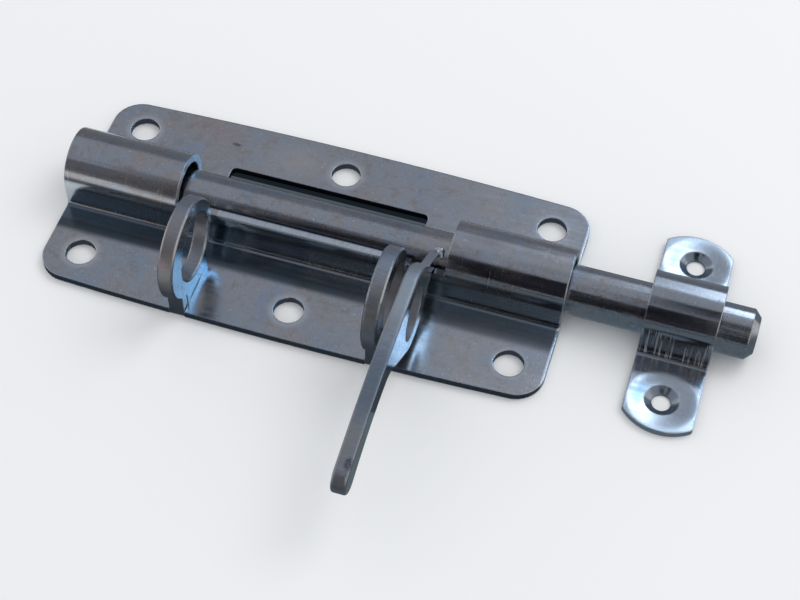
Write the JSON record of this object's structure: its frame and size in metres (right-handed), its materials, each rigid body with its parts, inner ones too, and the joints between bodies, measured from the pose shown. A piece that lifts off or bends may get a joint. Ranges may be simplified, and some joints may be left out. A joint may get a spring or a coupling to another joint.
{
  "type": "padlockable barrel bolt with keeper",
  "caption": "Pressed steel padbolt: round bolt in two tunnels of one plate, a lever and two ears for a padlock, and a screwed keeper strap.",
  "frame": {"origin": "centre of the back plate's corner screw pattern, on the plate's back face", "axes": "+X along the bolt towards the keeper, +Y across the plate away from the lever, +Z out of the mounting face"},
  "size_m": [0.1898, 0.1154, 0.0312],
  "materials": {
    "plate": "bright zinc-plated sheet",
    "ears": "zinc-plated stamping with dull rims",
    "bolt": "zinc-plated drawn bar",
    "lever": "zinc-plated stamping with dull edges",
    "keeper": "bright zinc-plated strap"
  },
  "bodies": {
    "mounting": {"back_plate": "plate", "left_ear": "ears", "right_ear": "ears", "keeper": "keeper"},
    "bolt": {"bolt_rod": "bolt"},
    "lever": {"lever": "lever"}
  },
  "joints": [
    {"name": "bolt_slide", "type": "slide", "parent": "mounting", "child": "bolt", "axis": [1, 0, 0], "range_m": [-0.0023, 0.0028]},
    {"name": "lever_turn", "type": "hinge", "parent": "bolt", "child": "lever", "pos_m": [0.0328, 0.0011, 0.0072], "axis": [-1, 0, 0], "range_deg": [0, 90]}
  ]
}
